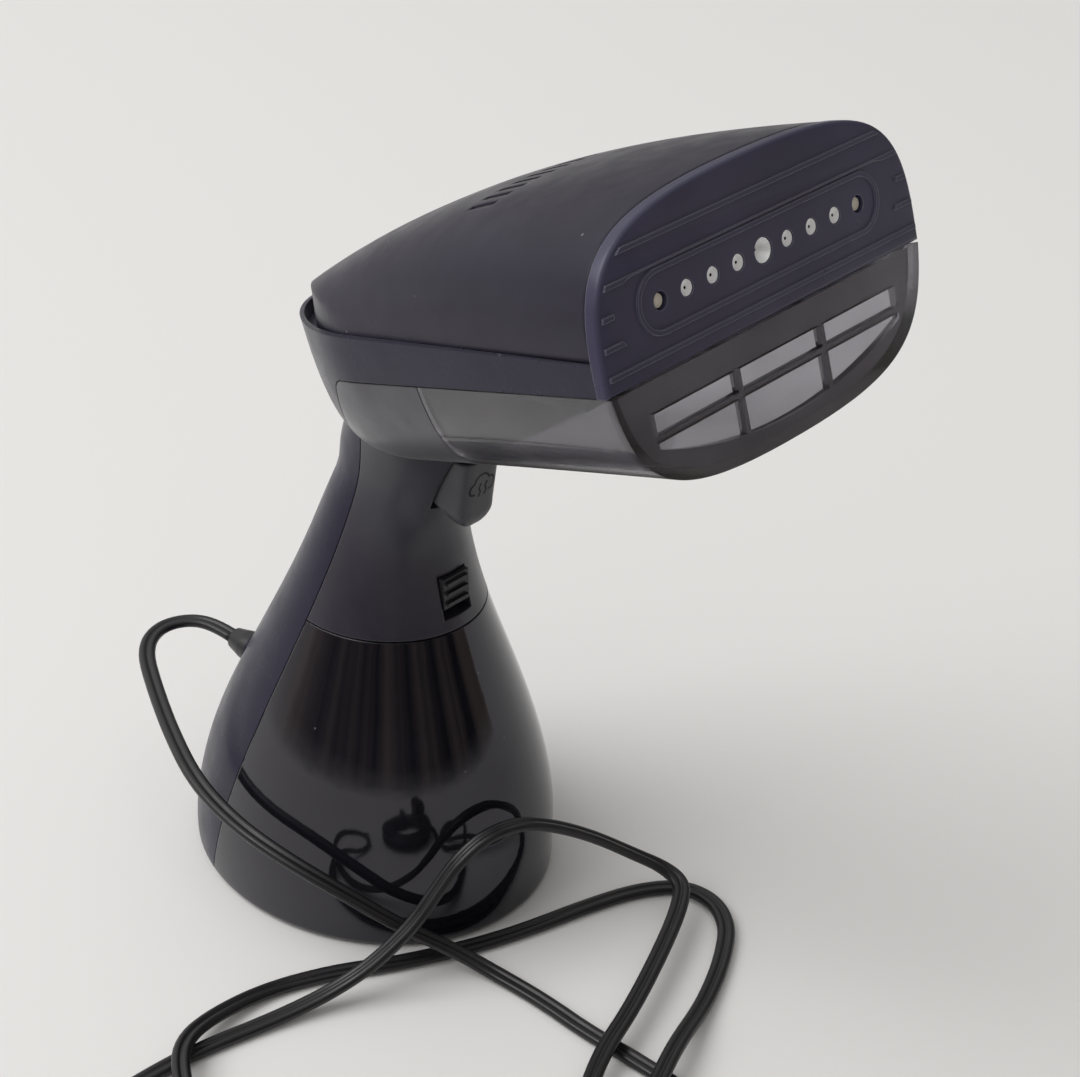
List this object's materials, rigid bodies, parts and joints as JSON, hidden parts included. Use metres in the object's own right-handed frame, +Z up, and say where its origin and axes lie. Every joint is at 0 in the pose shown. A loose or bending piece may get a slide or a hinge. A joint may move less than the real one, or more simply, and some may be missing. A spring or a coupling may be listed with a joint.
{
  "type": "handheld garment steamer",
  "caption": "Handheld garment steamer: a vaulted steam head with a ribbed plate on a flared handle, standing on its base over a lift-off water tank, with a trigger and a coiled lead.",
  "frame": {"origin": "on the floor under the middle of the base", "axes": "+Z up, the steam plate faces -Y, +X to the right seen from the back of the head"},
  "size_m": [0.2343, 0.3127, 0.2593],
  "materials": {
    "housing_plastic": "satin moulded plastic, very dark navy",
    "tank_plastic": "gloss, near black",
    "smoked_clear": "smoked clear plastic",
    "trigger_plastic": "fine satin",
    "dark_plastic": "matt",
    "rubber": "matt",
    "cast_metal": "as cast",
    "steel": "bright",
    "brass": "bright",
    "board": "lacquered board",
    "cord_jacket": "soft satin jacket"
  },
  "bodies": {
    "housing": {"rear_housing": "housing_plastic", "head_top_cover": "housing_plastic", "face_plate": "housing_plastic", "lower_head_shell": "smoked_clear", "front_cover": "housing_plastic", "steam_chamber": "cast_metal", "heating_element": "steel", "chamber_gasket": "rubber", "chamber_lid": "cast_metal", "lid_screws": "steel", "thermostat": "steel", "thermal_fuse": "dark_plastic", "steam_manifold": "cast_metal", "manifold_seal": "rubber", "steam_nozzles": "steel", "heat_shield": "dark_plastic", "water_pump": "dark_plastic", "pump_bracket": "dark_plastic", "inlet_grommet": "rubber", "outlet_hose": "rubber", "switch_shelf": "dark_plastic", "micro_switch": "dark_plastic", "trigger_pin": "steel", "trigger_spring": "steel", "latch_spring": "steel", "circuit_board": "board", "terminal_block": "dark_plastic", "cord_strain_relief": "rubber", "cord_clamp": "dark_plastic"},
    "trigger": {"trigger": "trigger_plastic"},
    "tank_latch": {"tank_latch": "housing_plastic"},
    "tank": {"water_tank": "tank_plastic", "filler_stopper": "rubber", "tank_valve": "dark_plastic", "valve_spring": "steel", "tank_seal": "rubber", "power_cord": "cord_jacket", "cord_coil": "cord_jacket", "cord_tie": "cord_jacket", "plug_body": "cord_jacket", "plug_blades": "brass"},
    "valve_poppet": {"valve_poppet": "dark_plastic"}
  },
  "joints": [
    {"name": "body_lift", "type": "slide", "parent": "tank", "child": "housing", "axis": [0, 0, 1], "range_m": [0, 0.12]},
    {"name": "trigger_pull", "type": "hinge", "parent": "housing", "child": "trigger", "pos_m": [0, -0.0445, 0.1496], "axis": [1, 0, 0], "range_deg": [0, 6], "stiffness_Nm_per_rad": 0.2, "deforming": ["trigger_spring"]},
    {"name": "latch_slide", "type": "slide", "parent": "housing", "child": "tank_latch", "axis": [0, 0, -1], "range_m": [0, 0.0028], "stiffness_N_per_m": 300, "deforming": ["latch_spring"]},
    {"name": "valve_press", "type": "slide", "parent": "tank", "child": "valve_poppet", "axis": [0, 0, -1], "range_m": [0, 0.0015], "stiffness_N_per_m": 200, "deforming": ["valve_spring"]}
  ]
}
